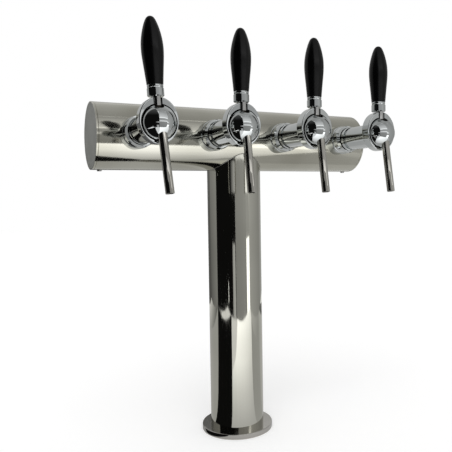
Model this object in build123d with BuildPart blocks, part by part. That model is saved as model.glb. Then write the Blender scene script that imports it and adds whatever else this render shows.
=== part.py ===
"""Four-tap T-shaped beer tower: column, cross tube and four ball-head taps.

Millimetres, +Z up. The origin is the centre of the base flange's underside, which rests on the
counter. The cross tube runs along X and the taps point forwards, along -Y.
"""

from build123d import *
from math import cos, radians, sin, sqrt
import os

# ---- Driving dimensions --------------------------------------------------------------------

# Cross tube (the bar of the T)
tee_d = 101.6
tee_wall = 1.5
tee_length = 465.0
tee_height = 484.5          # axis above the counter

# Column
column_d = 88.9
column_wall = 1.5

# Base flange, bolted from under the counter
flange_d = 118.0
flange_t = 8.5
flange_edge_r = 1.0
line_hole_d = 58.0
bolt_circle_d = 73.0
bolt_hole_d = 6.8           # tapping size for M8
bolt_count = 4
gasket_d = 108.0
gasket_width = 4.0
gasket_t = 2.0

# End caps of the cross tube, each held by one screw from below
cap_t = 2.0
cap_wall = 1.5
cap_depth = 20.0
cap_screw_inset = 12.0      # from the tube's end
cap_screw_d = 4.0
cap_screw_length = 8.0
cap_screw_head_d = 7.0
cap_screw_head_h = 2.0

# Foam round the lines inside the column
foam_hole_d = 59.0
foam_top_gap = 4.0          # below the cross tube

# Row of taps
tap_count = 4
tap_inset = 55.5            # of the outer taps, from the cross tube's ends
tap_rise = 0.5              # tap axis above the cross tube's axis
tap_turns = (-3.3, 0.0, 0.0, 0.0)   # how far off upright each tap was tightened

# The rest of the sizes are one tap's. "Reach" is a distance forwards from the cross tube's axis,
# and "ahead" and "behind" are distances from the ball's centre.

# Shank through the tube wall, with its nuts
shank_rear = 22.0
shank_thread_d = 22.0
shank_bore_d = 8.0
shank_shoulder = 60.0
shank_collar_d = 29.8
shank_front = 79.0
lock_nut_d = 31.2           # across corners
lock_nut_t = 8.0
line_nut_d = 16.0           # across corners
line_nut_t = 10.0

# Saddle ring between the tube and the coupling nut
saddle_d = 47.0
saddle_front = 69.5
saddle_edge_r = 3.0

# Coupling nut
nut_d = 45.4
nut_nose_d = 41.0
nut_taper = 80.0            # reach where the nose begins
nut_front = 86.0
nut_lip_t = 2.0
nut_slots = 6
nut_slot_w = 4.0
nut_slot_depth = 1.8
nut_slot_length = 6.0

# Seal between shank and tap
seal_t = 2.0

# Tap body: barrel and oval hood
body_flange_t = 3.0
body_neck_d = 26.0
body_inlet_d = 10.0
barrel_rear = 88.0
barrel_d = 37.0
barrel_ring_d = 39.0
barrel_ring_t = 6.5
barrel_groove_w = 1.8       # of each of the two grooves in front of the ring
barrel_groove_d = 34.6
barrel_rib_w = 1.0          # between the grooves
chamber_d = 23.0
chamber_rear = 92.0
hood_w = 52.0
hood_h = 60.0
hood_rise = 4.7             # its middle above the tap axis
hood_back_behind = 12.0
hood_front_ahead = 4.5
hood_front_r = 1.2
hood_back_r = 1.5
hood_throat_r = 5.5         # between the barrel and the hood's back
ball_gap = 1.0              # open groove round the ball
barrel_screw_d = 4.0
barrel_screw_length = 6.0
barrel_screw_reach = 110.0
barrel_screw_key_d = 2.0

# Ball head
ball_d = 46.0
ball_reach = 166.0
ball_rise = 2.0             # centre above the tap axis
ball_seat_behind = 6.0      # flat back of the ball, in the hood's recess
ball_wall = 3.5
guide_front_wall = 1.6      # solid disc behind the ball's hollow
spigot_rear_behind = 38.0
arm_slot_behind = 8.0       # slot above the guide where the lever's arm swings
arm_slot_rise = 12.0

# Spout
spout_d = 11.5
spout_bore_d = 9.5
spout_root_d = 12.0         # where it is pressed into the ball
spout_root_length = 9.5
spout_length = 80.0
spout_tip_ahead = 26.0
spout_tip_drop = 89.0       # below the tap axis
spout_tilt = 9.6            # forwards, from straight down

# Lever, with its pivot and the arm that works the valve
pivot_ahead = 0.5
pivot_rise = 16.0           # above the tap axis
pivot_d = 3.0
pin_length = 33.0
neck_d = 11.0
hub_d = 9.0
hub_w = 8.0
arm_d = 4.4
arm_tip_d = 7.0
lever_swing = 25.0          # forwards, to fully open
neck_slot_spare = 4.5       # of the ball's slot, beyond the swing
stud_d = 6.0
stud_in_handle = 30.0

# Ferrule and handle
handle_behind = 3.0
ferrule_rise = 35.3         # underside above the tap axis
ferrule_d = 21.8
ferrule_h = 15.4
ferrule_line_rise = 10.4    # top of its lower part, above the underside
ferrule_line_w = 0.7
ferrule_line_d = 19.4
ferrule_bead_d = 21.0       # rounded bead above the line
ferrule_bead_edge_d = 19.8
ferrule_edge = 1.2
handle_h = 86.3
handle_d = 28.6
handle_foot_d = 21.4
handle_belly = 44.3         # height of the widest place

# Valve piston
piston_d = 13.8
piston_rear_behind = 20.0
piston_front_ahead = 7.0
piston_flat_w = 10.4
piston_top_trim = 3.5       # above the axis, where the arm swings
stem_d = 8.0
valve_d = 20.0
valve_t = 5.0
valve_seal_t = 2.0

# Beer lines
line_d = 8.0
line_bore_d = 5.0
line_socket_depth = 10.0
line_bottom = 2.0           # above the counter
inner_line_at = (12.0, 4.0)     # place in the column, from its centre
outer_line_at = (9.0, 20.0)
line_bend_r = 16.0
line_first_bend_r = 14.0

# Clearances
weld_gap = 0.02
press_gap = 0.02
screw_gap = 0.05
slide_gap = 0.08
insert_gap = 0.2
free_gap = 0.3
seat_gap = 0.1

# ---- Derived values ------------------------------------------------------------------------

tee_r = tee_d / 2
tee_bore_r = tee_r - tee_wall
column_bore_r = column_d / 2 - column_wall
tap_height = tee_height + tap_rise
tap_pitch = (tee_length - 2 * tap_inset) / (tap_count - 1)
tap_places = [(number - (tap_count - 1) / 2) * tap_pitch for number in range(tap_count)]
cap_screw_places = [side * (tee_length / 2 - cap_screw_inset) for side in (-1, 1)]
lock_nut_front = sqrt(tee_bore_r**2 - (lock_nut_d / 2 + tap_rise) ** 2) - seat_gap
body_rear = shank_front + seal_t
groove_rear = barrel_rear + barrel_ring_t
rib_rear = groove_rear + barrel_groove_w
rib_front = rib_rear + barrel_rib_w
groove_front = rib_front + barrel_groove_w
hood_rear = ball_reach - hood_back_behind
hood_front = ball_reach + hood_front_ahead
ball_seat = ball_reach - ball_seat_behind
spigot_rear = ball_reach - spigot_rear_behind
arm_slot_rear = ball_reach - arm_slot_behind
spout_tip_reach = ball_reach + spout_tip_ahead
pivot_reach = ball_reach + pivot_ahead
handle_reach = ball_reach - handle_behind
piston_rear = ball_reach - piston_rear_behind
piston_front = ball_reach + piston_front_ahead
body_flange_d = shank_collar_d - 2 * screw_gap
spigot_d = chamber_d - 2 * screw_gap
guide_d = piston_d + 2 * slide_gap
valve_front = spigot_rear - seat_gap - valve_seal_t
ferrule_top = ferrule_rise + ferrule_h
slot_travel = (ball_rise + ball_d / 2 - pivot_rise) * sin(radians(lever_swing)) / cos(radians(lever_swing))
neck_slot_d = neck_d + 2 * free_gap
swing_slot_length = (
    slot_travel + neck_d / 2 * (1 / cos(radians(lever_swing)) - 1) + free_gap + neck_slot_spare
)
spout_axis = (0, sin(radians(spout_tilt)), -cos(radians(spout_tilt)))
spout_root = (
    0,
    spout_tip_reach - spout_length * sin(radians(spout_tilt)),
    spout_length * cos(radians(spout_tilt)) - spout_tip_drop,
)


def straight_place(number):
    """Turns a tap piece to face forwards and sets it at its hole in the cross tube."""
    return Pos(tap_places[number], 0, tap_height) * Rot(0, 0, 180)


def turned_place(number):
    """The same, with the small turn that this tap was tightened at."""
    return Pos(tap_places[number], 0, tap_height) * Rot(0, tap_turns[number], 0) * Rot(0, 0, 180)


def save(shape, label):
    """Writes one piece, or one set of like pieces, as its own STEP file."""
    shape.label = label
    export_step(shape, f"parts/{label}.step")


# ---- Tower ---------------------------------------------------------------------------------


def make_tee_tube():
    """Cross tube with a hole for each shank, one over the column and one for each cap screw."""
    with BuildPart() as tee_tube:
        with BuildSketch(Plane.YZ.offset(-tee_length / 2)):
            with Locations((0, tee_height)):
                Circle(tee_r)
                Circle(tee_bore_r, mode=Mode.SUBTRACT)
        extrude(amount=tee_length)
        with BuildSketch(Plane.XY.offset(tee_height - tee_d)):
            Circle(column_bore_r)
        extrude(amount=tee_d, mode=Mode.SUBTRACT)
        with BuildSketch(Plane.XZ):
            with Locations(*[(place, tap_height) for place in tap_places]):
                Circle(shank_thread_d / 2 + free_gap)
        extrude(amount=tee_d, mode=Mode.SUBTRACT)
        with BuildSketch(Plane.XY.offset(tee_height - tee_d)):
            with Locations(*[(place, 0) for place in cap_screw_places]):
                Circle(cap_screw_d / 2 + screw_gap)
        extrude(amount=tee_d, mode=Mode.SUBTRACT)
    return tee_tube.part


def make_column_tube():
    """Column, its top cut to the cross tube's round side."""
    with BuildPart() as column_tube:
        with BuildSketch(Plane.XY.offset(flange_t)):
            Circle(column_d / 2)
            Circle(column_bore_r, mode=Mode.SUBTRACT)
        extrude(amount=tee_height - flange_t)
        with BuildSketch(Plane.YZ.offset(-column_d)):
            with Locations((0, tee_height)):
                Circle(tee_r + weld_gap)
        extrude(amount=2 * column_d, mode=Mode.SUBTRACT)
    return column_tube.part


def make_base_flange():
    """Base plate with its line hole, tapped bolt holes and gasket groove."""
    with BuildPart() as base_flange:
        with BuildSketch():
            Circle(flange_d / 2)
            Circle(line_hole_d / 2, mode=Mode.SUBTRACT)
            with PolarLocations(bolt_circle_d / 2, bolt_count, start_angle=45):
                Circle(bolt_hole_d / 2, mode=Mode.SUBTRACT)
        extrude(amount=flange_t)
        with BuildSketch():
            Circle(gasket_d / 2)
            Circle(gasket_d / 2 - gasket_width, mode=Mode.SUBTRACT)
        extrude(amount=gasket_t, mode=Mode.SUBTRACT)
        rim = base_flange.edges().filter_by(GeomType.CIRCLE).group_by(Axis.Z)[-1].sort_by(SortBy.RADIUS)[-1]
        fillet(rim, flange_edge_r)
    return base_flange.part


def make_base_gasket():
    """Flat rubber ring in the flange's underside."""
    with BuildPart() as base_gasket:
        with BuildSketch():
            Circle(gasket_d / 2 - insert_gap)
            Circle(gasket_d / 2 - gasket_width + insert_gap, mode=Mode.SUBTRACT)
        extrude(amount=gasket_t)
    return base_gasket.part


def make_insulation_sleeve():
    """Foam sleeve that lines the column round the beer lines."""
    with BuildPart() as insulation_sleeve:
        with BuildSketch(Plane.XY.offset(flange_t)):
            Circle(column_bore_r - insert_gap)
            Circle(foam_hole_d / 2, mode=Mode.SUBTRACT)
        extrude(amount=tee_height - tee_r - foam_top_gap - flange_t)
    return insulation_sleeve.part


def make_end_cap():
    """Flat cup that closes the cross tube's +X end, flush with it."""
    cap_r = tee_bore_r - insert_gap
    with BuildPart() as end_cap:
        with BuildSketch(Plane.YZ.offset(tee_length / 2 - cap_depth)):
            with Locations((0, tee_height)):
                Circle(cap_r)
        extrude(amount=cap_depth)
        with BuildSketch(Plane.YZ.offset(tee_length / 2 - cap_depth)):
            with Locations((0, tee_height)):
                Circle(cap_r - cap_wall)
        extrude(amount=cap_depth - cap_t, mode=Mode.SUBTRACT)
        with BuildSketch(Plane.XY.offset(tee_height - tee_d)):
            with Locations((cap_screw_places[-1], 0)):
                Circle(cap_screw_d / 2 + screw_gap)
        extrude(amount=tee_d, mode=Mode.SUBTRACT)
    return end_cap.part


def make_end_cap_screws():
    """One pan-head screw up into each end cap."""
    with BuildPart() as end_cap_screws:
        with BuildSketch(Plane.XY.offset(tee_height - tee_r)):
            with Locations(*[(place, 0) for place in cap_screw_places]):
                Circle(cap_screw_d / 2)
        extrude(amount=cap_screw_length)
        with BuildSketch(Plane.XY.offset(tee_height - tee_r - cap_screw_head_h)):
            with Locations(*[(place, 0) for place in cap_screw_places]):
                Circle(cap_screw_head_d / 2)
        extrude(amount=cap_screw_head_h)
        heads = end_cap_screws.edges().filter_by(GeomType.CIRCLE).group_by(Axis.Z)[0]
        fillet(heads, cap_screw_head_h * 0.4)
    return end_cap_screws.part


def make_beer_line(number):
    """Line from a shank to the foot of the column, in straight runs and round bends."""
    place = tap_places[number]
    outer = number in (0, tap_count - 1)
    across, back = outer_line_at if outer else inner_line_at
    side = 1 if place > 0 else -1
    route = [
        (place, -shank_rear - line_socket_depth, tap_height),
        (place, back, tap_height),
        (side * across, back, tap_height),
        (side * across, back, line_bottom),
    ]
    with BuildPart() as beer_line:
        with BuildLine():
            path = FilletPolyline(*route, radius=[line_first_bend_r, line_bend_r])
        with BuildSketch(Plane(origin=path @ 0, z_dir=path % 0)):
            Circle(line_d / 2)
            Circle(line_bore_d / 2, mode=Mode.SUBTRACT)
        sweep()
    return beer_line.part


# ---- One tap -------------------------------------------------------------------------------
# Each piece is made with the tap axis along +Y, its reach being its Y, and is turned and placed
# afterwards. Turned pieces are outlines in (radius, reach), spun round the axis.


def make_shank():
    """Threaded tube through the wall, with a shoulder that clamps the saddle ring."""
    with BuildPart() as shank:
        with BuildSketch():
            with BuildLine():
                Polyline(
                    (shank_bore_d / 2, shank_rear),
                    (shank_thread_d / 2, shank_rear),
                    (shank_thread_d / 2, shank_shoulder),
                    (shank_collar_d / 2, shank_shoulder),
                    (shank_collar_d / 2, shank_front),
                    (shank_bore_d / 2, shank_front),
                    close=True,
                )
            make_face()
        revolve(axis=Axis.Y)
        with BuildSketch(Plane.XZ.offset(-shank_rear)):
            Circle(line_d / 2 + screw_gap)
        extrude(amount=-line_socket_depth, mode=Mode.SUBTRACT)
    return shank.part


def make_hex_nut(corners_d, bore_d, rear, front):
    """Plain hexagon nut on the tap axis, between two reaches."""
    with BuildPart() as hex_nut:
        with BuildSketch(Plane.XZ.offset(-rear)):
            RegularPolygon(corners_d / 2, 6)
            Circle(bore_d / 2, mode=Mode.SUBTRACT)
        extrude(amount=rear - front)
    return hex_nut.part


def make_saddle_ring():
    """Ring whose back is hollowed to sit on the cross tube."""
    with BuildPart() as saddle_ring:
        with BuildSketch():
            with BuildLine():
                Polyline(
                    (shank_thread_d / 2 + free_gap, 0),
                    (saddle_d / 2, 0),
                    (saddle_d / 2, saddle_front),
                    (shank_collar_d / 2 + free_gap, saddle_front),
                    (shank_collar_d / 2 + free_gap, shank_shoulder),
                    (shank_thread_d / 2 + free_gap, shank_shoulder),
                    close=True,
                )
            make_face()
        revolve(axis=Axis.Y)
        with BuildSketch(Plane.YZ.offset(-saddle_d)):
            with Locations((0, -tap_rise)):
                Circle(tee_r + weld_gap)
        extrude(amount=2 * saddle_d, mode=Mode.SUBTRACT)
        rims = saddle_ring.edges().filter_by(GeomType.CIRCLE).group_by(Axis.Y)[-1]
        fillet(rims.sort_by(SortBy.RADIUS)[-1], saddle_edge_r)
    return saddle_ring.part


def make_coupling_nut():
    """Round nut with spanner slots and a tapered nose that holds the tap to the shank."""
    with BuildPart() as coupling_nut:
        with BuildSketch():
            with BuildLine():
                Polyline(
                    (shank_collar_d / 2 + screw_gap, saddle_front),
                    (nut_d / 2, saddle_front),
                    (nut_d / 2, nut_taper),
                    (nut_nose_d / 2, nut_front),
                    (body_neck_d / 2 + free_gap, nut_front),
                    (body_neck_d / 2 + free_gap, nut_front - nut_lip_t),
                    (shank_collar_d / 2 + screw_gap, nut_front - nut_lip_t),
                    close=True,
                )
            make_face()
        revolve(axis=Axis.Y)
        with BuildSketch(Plane.XZ.offset(-nut_taper + nut_slot_length / 2)):
            with PolarLocations(nut_d / 2, nut_slots, start_angle=20):
                Rectangle(2 * nut_slot_depth, nut_slot_w)
        extrude(amount=-nut_slot_length, mode=Mode.SUBTRACT)
    return coupling_nut.part


def make_shank_seal():
    """Rubber washer between the shank and the tap body."""
    with BuildPart() as shank_seal:
        with BuildSketch(Plane.XZ.offset(-shank_front)):
            Circle(body_flange_d / 2)
            Circle(shank_bore_d / 2, mode=Mode.SUBTRACT)
        extrude(amount=-seal_t)
    return shank_seal.part


def make_tap_body():
    """Barrel that holds the valve, with the oval hood that the ball head sits in."""
    with BuildPart() as tap_body:
        with BuildSketch():
            with BuildLine():
                Polyline(
                    (0, body_rear),
                    (body_flange_d / 2, body_rear),
                    (body_flange_d / 2, body_rear + body_flange_t),
                    (body_neck_d / 2, body_rear + body_flange_t),
                    (body_neck_d / 2, barrel_rear),
                    (barrel_ring_d / 2, barrel_rear),
                    (barrel_ring_d / 2, groove_rear),
                    (barrel_groove_d / 2, groove_rear),
                    (barrel_groove_d / 2, rib_rear),
                    (barrel_d / 2, rib_rear),
                    (barrel_d / 2, rib_front),
                    (barrel_groove_d / 2, rib_front),
                    (barrel_groove_d / 2, groove_front),
                    (barrel_d / 2, groove_front),
                    (barrel_d / 2, hood_rear),
                    (0, hood_rear),
                    close=True,
                )
            make_face()
        revolve(axis=Axis.Y)
        with BuildSketch(Plane.XZ.offset(-hood_rear)):
            with Locations((0, hood_rise)):
                Ellipse(hood_w / 2, hood_h / 2)
        extrude(amount=hood_rear - hood_front)
        hood_edges = tap_body.edges().filter_by(GeomType.ELLIPSE).sort_by(Axis.Y)
        fillet(hood_edges[-1], hood_front_r)
        fillet(hood_edges[0], hood_back_r)
        throat = tap_body.edges().filter_by(GeomType.CIRCLE).filter_by_position(Axis.Y, hood_rear, hood_rear)
        fillet(throat, hood_throat_r)
        with BuildSketch():
            with BuildLine():
                Polyline(
                    (0, body_rear),
                    (body_inlet_d / 2, body_rear),
                    (body_inlet_d / 2, chamber_rear),
                    (chamber_d / 2, chamber_rear),
                    (chamber_d / 2, hood_front),
                    (0, hood_front),
                    close=True,
                )
            make_face()
        revolve(axis=Axis.Y, mode=Mode.SUBTRACT)
        with BuildSketch(Plane.XZ.offset(-ball_seat)):
            with Locations((0, ball_rise)):
                Circle(ball_d / 2 + ball_gap)
        extrude(amount=ball_seat - hood_front, mode=Mode.SUBTRACT)
        with BuildSketch():
            with Locations((0, pivot_reach)):
                Circle(neck_slot_d / 2)
                Rectangle(neck_slot_d, neck_slot_d, align=(Align.CENTER, Align.MIN))
        extrude(amount=hood_h, mode=Mode.SUBTRACT)
        with BuildSketch(Plane.XY.offset(-barrel_d / 2 - press_gap)):
            with Locations((0, barrel_screw_reach)):
                Circle(barrel_screw_d / 2 + press_gap)
        extrude(amount=barrel_screw_length, mode=Mode.SUBTRACT)
    return tap_body.part


def make_barrel_screw():
    """Grub screw under the barrel, standing a little proud."""
    with BuildPart() as barrel_screw:
        with BuildSketch(Plane.XY.offset(-barrel_d / 2 - free_gap)):
            with Locations((0, barrel_screw_reach)):
                Circle(barrel_screw_d / 2)
        extrude(amount=barrel_screw_length)
        with BuildSketch(Plane.XY.offset(-barrel_d / 2 - free_gap)):
            with Locations((0, barrel_screw_reach)):
                RegularPolygon(barrel_screw_key_d / 2, 6)
        extrude(amount=barrel_screw_key_d, mode=Mode.SUBTRACT)
    return barrel_screw.part


def make_ball_head():
    """Hollow ball with a spigot that guides the valve, a slot for the lever and a spout hole."""
    hollow_rear = ball_seat + guide_front_wall
    with BuildPart() as ball_head:
        with Locations((0, ball_reach, ball_rise)):
            Sphere(ball_d / 2)
            Sphere(ball_d / 2 - ball_wall, mode=Mode.SUBTRACT)
        with BuildSketch(Plane.XZ.offset(-hollow_rear)):
            with Locations((0, ball_rise)):
                Circle(ball_d / 2 - ball_wall)
        extrude(amount=guide_front_wall)
        with BuildSketch(Plane.XZ.offset(-ball_seat)):
            Rectangle(2 * ball_d, 2 * ball_d)
        extrude(amount=ball_d, mode=Mode.SUBTRACT)
        with BuildSketch(Plane.XZ.offset(-ball_seat)):
            Circle(spigot_d / 2)
        extrude(amount=ball_seat - spigot_rear)
        with BuildSketch(Plane.XZ.offset(-hollow_rear)):
            Circle(guide_d / 2)
        extrude(amount=hollow_rear - spigot_rear, mode=Mode.SUBTRACT)
        with BuildSketch(Plane.XZ.offset(-hollow_rear)):
            Rectangle(arm_d + 2 * free_gap, arm_slot_rise, align=(Align.CENTER, Align.MIN))
        extrude(amount=hollow_rear - arm_slot_rear, mode=Mode.SUBTRACT)
        with BuildSketch(Plane.XY.offset(pivot_rise)):
            with Locations((0, pivot_reach + swing_slot_length / 2)):
                SlotCenterToCenter(swing_slot_length, neck_slot_d, rotation=90)
        extrude(amount=ball_d / 2, mode=Mode.SUBTRACT)
        with BuildSketch(Plane(origin=spout_root, z_dir=spout_axis)):
            Circle(spout_root_d / 2 + press_gap)
        extrude(amount=ball_d / 2, mode=Mode.SUBTRACT)
        with BuildSketch(Plane.YZ.offset(-pin_length / 2)):
            with Locations((pivot_reach, pivot_rise)):
                Circle(pivot_d / 2 + press_gap)
        extrude(amount=pin_length, mode=Mode.SUBTRACT)
    return ball_head.part


def make_lever_pin():
    """Cross pin in the ball's walls that the lever turns on."""
    with BuildPart() as lever_pin:
        with BuildSketch(Plane.YZ.offset(-pin_length / 2)):
            with Locations((pivot_reach, pivot_rise)):
                Circle(pivot_d / 2)
        extrude(amount=pin_length)
    return lever_pin.part


def make_spout():
    """Straight tube from inside the ball, leaning forwards, with a thicker root in the ball's wall."""
    with BuildPart() as spout:
        with BuildSketch(Plane(origin=spout_root, z_dir=spout_axis)):
            Circle(spout_d / 2)
        extrude(amount=spout_length)
        with BuildSketch(Plane(origin=spout_root, z_dir=spout_axis)):
            Circle(spout_root_d / 2)
        extrude(amount=spout_root_length)
        with BuildSketch(Plane(origin=spout_root, z_dir=spout_axis)):
            Circle(spout_bore_d / 2)
        extrude(amount=spout_length, mode=Mode.SUBTRACT)
    return spout.part


def make_lever():
    """Cranked lever: arm with a ball tip, hub, neck, and the stud that the handle screws onto."""
    with BuildPart() as lever:
        with BuildSketch():
            with Locations((0, pivot_reach)):
                Circle(arm_d / 2)
        extrude(amount=pivot_rise)
        with Locations((0, pivot_reach, 0)):
            Sphere(arm_tip_d / 2)
        with BuildSketch(Plane.YZ.offset(-hub_w / 2)):
            with Locations((pivot_reach, pivot_rise)):
                Circle(hub_d / 2)
        extrude(amount=hub_w)
        with BuildSketch(Plane.XY.offset(pivot_rise)):
            with Locations((0, pivot_reach)):
                Circle(neck_d / 2)
        extrude(amount=ferrule_rise - pivot_rise)
        with BuildSketch(Plane.XY.offset(ferrule_rise)):
            with Locations((0, handle_reach)):
                Circle(stud_d / 2)
        extrude(amount=ferrule_h + stud_in_handle)
        with BuildSketch(Plane.YZ.offset(-hub_w)):
            with Locations((pivot_reach, pivot_rise)):
                Circle(pivot_d / 2 + slide_gap)
        extrude(amount=2 * hub_w, mode=Mode.SUBTRACT)
    return lever.part


def make_ferrule():
    """Chromed ferrule under the handle: a plain lower part, a turned line and a rounded bead."""
    ferrule_r = ferrule_d / 2
    line_r = ferrule_line_d / 2
    bead_edge_r = ferrule_bead_edge_d / 2
    bead_low = ferrule_line_rise + ferrule_line_w
    bore_r = stud_d / 2 + screw_gap
    with BuildPart() as ferrule:
        with BuildSketch(Plane.XZ):
            with BuildLine():
                Polyline(
                    (bead_edge_r, ferrule_h),
                    (bore_r, ferrule_h),
                    (bore_r, 0),
                    (ferrule_r - ferrule_edge, 0),
                    (ferrule_r, ferrule_edge),
                    (ferrule_r, ferrule_line_rise),
                    (line_r, ferrule_line_rise),
                    (line_r, bead_low),
                    (bead_edge_r, bead_low),
                )
                ThreePointArc(
                    (bead_edge_r, bead_low),
                    (ferrule_bead_d / 2, (bead_low + ferrule_h) / 2),
                    (bead_edge_r, ferrule_h),
                )
            make_face()
        revolve(axis=Axis.Z)
    return Pos(0, handle_reach, ferrule_rise) * ferrule.part


def make_handle():
    """Torpedo handle: a foot that swells to the belly, and a rounded crown near a half-ellipse."""
    belly_r = handle_d / 2
    foot_r = handle_foot_d / 2
    crown = handle_h - handle_belly
    with BuildPart() as handle:
        with BuildSketch(Plane.XZ):
            with BuildLine():
                Line((0, 0), (foot_r, 0))
                TangentArc((belly_r, handle_belly), (foot_r, 0), tangent=(0, -1))
                Spline(
                    (belly_r, handle_belly),
                    (belly_r * sqrt(0.5), handle_belly + crown * sqrt(0.5)),
                    (0, handle_h),
                    tangents=((0, 1), (-1, 0)),
                )
                Line((0, handle_h), (0, 0))
            make_face()
        revolve(axis=Axis.Z)
        with BuildSketch():
            Circle(stud_d / 2 + screw_gap)
        extrude(amount=stud_in_handle, mode=Mode.SUBTRACT)
    return Pos(0, handle_reach, ferrule_top) * handle.part


def make_piston():
    """Valve piston: head, stem, and a slotted block that the lever's arm works in."""
    block_length = piston_front - piston_rear
    with BuildPart() as piston:
        with BuildSketch():
            with BuildLine():
                Polyline(
                    (0, valve_front - valve_t),
                    (valve_d / 2, valve_front - valve_t),
                    (valve_d / 2, valve_front),
                    (stem_d / 2, valve_front),
                    (stem_d / 2, piston_rear),
                    (piston_d / 2, piston_rear),
                    (piston_d / 2, piston_front),
                    (0, piston_front),
                    close=True,
                )
            make_face()
        revolve(axis=Axis.Y)
        with BuildSketch(Plane.XZ.offset(-piston_rear)):
            Rectangle(2 * piston_d, 2 * piston_d)
            Rectangle(piston_flat_w, 2 * piston_d, mode=Mode.SUBTRACT)
        extrude(amount=-block_length, mode=Mode.SUBTRACT)
        with BuildSketch(Plane.XY.offset(-piston_d / 2)):
            with Locations((0, pivot_reach)):
                Circle(arm_tip_d / 2 + free_gap)
        extrude(amount=piston_d, mode=Mode.SUBTRACT)
        with BuildSketch(Plane.XY.offset(piston_top_trim)):
            with Locations((0, piston_front)):
                Rectangle(piston_d, block_length, align=(Align.CENTER, Align.MAX))
        extrude(amount=piston_d, mode=Mode.SUBTRACT)
    return piston.part


def make_piston_seal():
    """Rubber ring on the valve head's face."""
    with BuildPart() as piston_seal:
        with BuildSketch(Plane.XZ.offset(-valve_front)):
            Circle(valve_d / 2)
            Circle(stem_d / 2 + screw_gap, mode=Mode.SUBTRACT)
        extrude(amount=-valve_seal_t)
    return piston_seal.part


# ---- Build ---------------------------------------------------------------------------------


def build_tower():
    """Writes the fixed pieces that are not part of one tap."""
    save(make_base_flange(), "base_flange")
    save(make_base_gasket(), "base_gasket")
    save(make_column_tube(), "column_tube")
    save(make_tee_tube(), "tee_tube")
    save(make_insulation_sleeve(), "insulation_sleeve")
    end_cap = make_end_cap()
    save(mirror(end_cap, about=Plane.YZ), "end_cap_left")
    save(end_cap, "end_cap_right")
    save(make_end_cap_screws(), "end_cap_screws")
    save(Compound(children=[make_beer_line(number) for number in range(tap_count)]), "beer_lines")


def build_taps():
    """Makes each tap piece once and places a copy of it on every tap."""
    straight_pieces = {"shank": make_shank(), "saddle_ring": make_saddle_ring()}
    turned_pieces = {
        "coupling_nut": make_coupling_nut(),
        "tap_body": make_tap_body(),
        "ball_head": make_ball_head(),
        "spout": make_spout(),
        "lever": make_lever(),
        "ferrule": make_ferrule(),
        "handle": make_handle(),
        "piston": make_piston(),
        "piston_seal": make_piston_seal(),
    }
    straight_sets = {
        "lock_nuts": make_hex_nut(
            lock_nut_d, shank_thread_d + 2 * screw_gap, lock_nut_front - lock_nut_t, lock_nut_front
        ),
        "line_nuts": make_hex_nut(line_nut_d, line_d + 2 * screw_gap, shank_rear - line_nut_t, shank_rear),
        "shank_seals": make_shank_seal(),
    }
    turned_sets = {"barrel_screws": make_barrel_screw(), "lever_pins": make_lever_pin()}
    for pieces, place in ((straight_pieces, straight_place), (turned_pieces, turned_place)):
        for name, piece in pieces.items():
            for number in range(tap_count):
                save(place(number) * piece, f"{name}_{number + 1}")
    for pieces, place in ((straight_sets, straight_place), (turned_sets, turned_place)):
        for name, piece in pieces.items():
            save(Compound(children=[place(number) * piece for number in range(tap_count)]), name)


os.makedirs("parts", exist_ok=True)
build_tower()
build_taps()
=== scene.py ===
"""Dresses the four-tap beer tower and sets its studio.

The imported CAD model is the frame. Most of its nodes keep their shapes and only get their
finishes here. The polished walls, the spouts and the handles are drawn again as smooth surfaces
worked out with numpy, and the weld bead under the cross tube is added. Everything is in metres,
+Z up, with the taps towards -Y.
"""

import logging
import math
from dataclasses import dataclass, field, replace
from enum import Enum

import bmesh
import bpy
import numpy as np
from mathutils import Matrix


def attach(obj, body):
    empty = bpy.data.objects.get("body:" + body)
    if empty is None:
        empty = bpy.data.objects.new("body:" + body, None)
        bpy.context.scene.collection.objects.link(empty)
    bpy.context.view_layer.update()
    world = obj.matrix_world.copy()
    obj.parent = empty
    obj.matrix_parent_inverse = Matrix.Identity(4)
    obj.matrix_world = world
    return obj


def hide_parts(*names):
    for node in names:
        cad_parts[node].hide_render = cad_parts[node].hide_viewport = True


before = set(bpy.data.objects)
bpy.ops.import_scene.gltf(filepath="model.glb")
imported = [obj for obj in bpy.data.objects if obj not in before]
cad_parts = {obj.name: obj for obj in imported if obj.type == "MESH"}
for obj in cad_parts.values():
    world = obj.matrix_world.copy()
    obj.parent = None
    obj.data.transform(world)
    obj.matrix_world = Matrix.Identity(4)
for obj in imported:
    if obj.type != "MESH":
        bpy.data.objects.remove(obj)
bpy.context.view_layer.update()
LOG = logging.getLogger("beer_tower")

Colour = tuple[float, float, float]
Point = tuple[float, float, float]
Place = tuple[float, float]

WHITE: Colour = (1.0, 1.0, 1.0)
SHARP_ANGLE = math.radians(35.0)
MILLIMETRES = 1000.0


# ---- Meshes ----------------------------------------------------------------------------------


def mesh_object(name: str, points: np.ndarray, faces: np.ndarray, smooth: bool = True) -> bpy.types.Object:
    """Makes an object at the origin from arrays of points and four-sided faces.

    Args:
        name: Name of the object and of its mesh.
        points: Places of the vertices in metres, n by 3.
        faces: Vertex numbers of each face, m by 4, turning left seen from outside.
        smooth: Whether the faces are shaded smooth.

    Returns:
        The new object, linked to the scene.
    """
    mesh = bpy.data.meshes.new(name)
    mesh.vertices.add(len(points))
    mesh.vertices.foreach_set("co", np.ascontiguousarray(points, dtype=np.float32).ravel())
    mesh.loops.add(faces.size)
    mesh.loops.foreach_set("vertex_index", np.ascontiguousarray(faces, dtype=np.int32).ravel())
    mesh.polygons.add(len(faces))
    mesh.polygons.foreach_set("loop_start", np.arange(len(faces), dtype=np.int32) * 4)
    mesh.polygons.foreach_set("use_smooth", np.full(len(faces), smooth))
    mesh.update(calc_edges=True)
    piece = bpy.data.objects.new(name, mesh)
    bpy.context.scene.collection.objects.link(piece)
    return piece


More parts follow.
